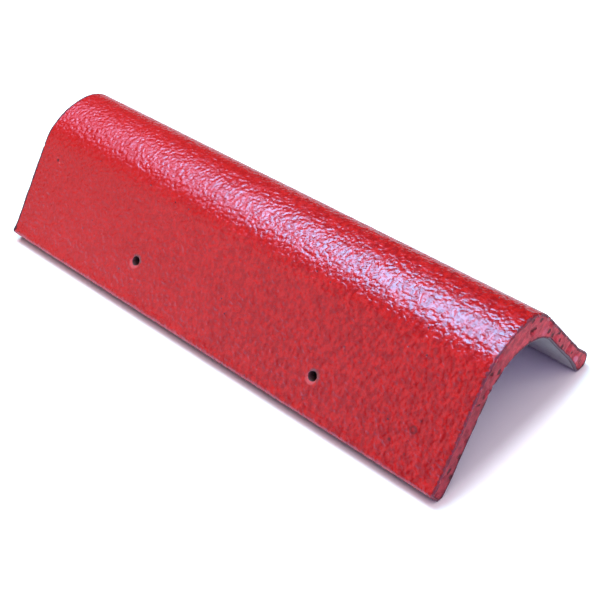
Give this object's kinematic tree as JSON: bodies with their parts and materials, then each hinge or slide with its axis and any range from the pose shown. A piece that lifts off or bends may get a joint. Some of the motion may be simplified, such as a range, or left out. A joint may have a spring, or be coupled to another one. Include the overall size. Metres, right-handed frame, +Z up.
{
  "type": "verge tile",
  "caption": "Long angled concrete tile with a thick rounded crown between a nailed wing and a plain wing, which covers the sloping edge of a tiled roof.",
  "frame": {"origin": "on the floor under the middle of the tile", "axes": "+X along the tile's length, +Y across it from the nailed front wing to the back wing, +Z up"},
  "size_m": [0.42, 0.1696, 0.091],
  "materials": {
    "painted_concrete": "glossy red coat over cast concrete, rough where cut"
  },
  "bodies": {
    "root": {"verge_tile": "painted_concrete"}
  },
  "joints": []
}
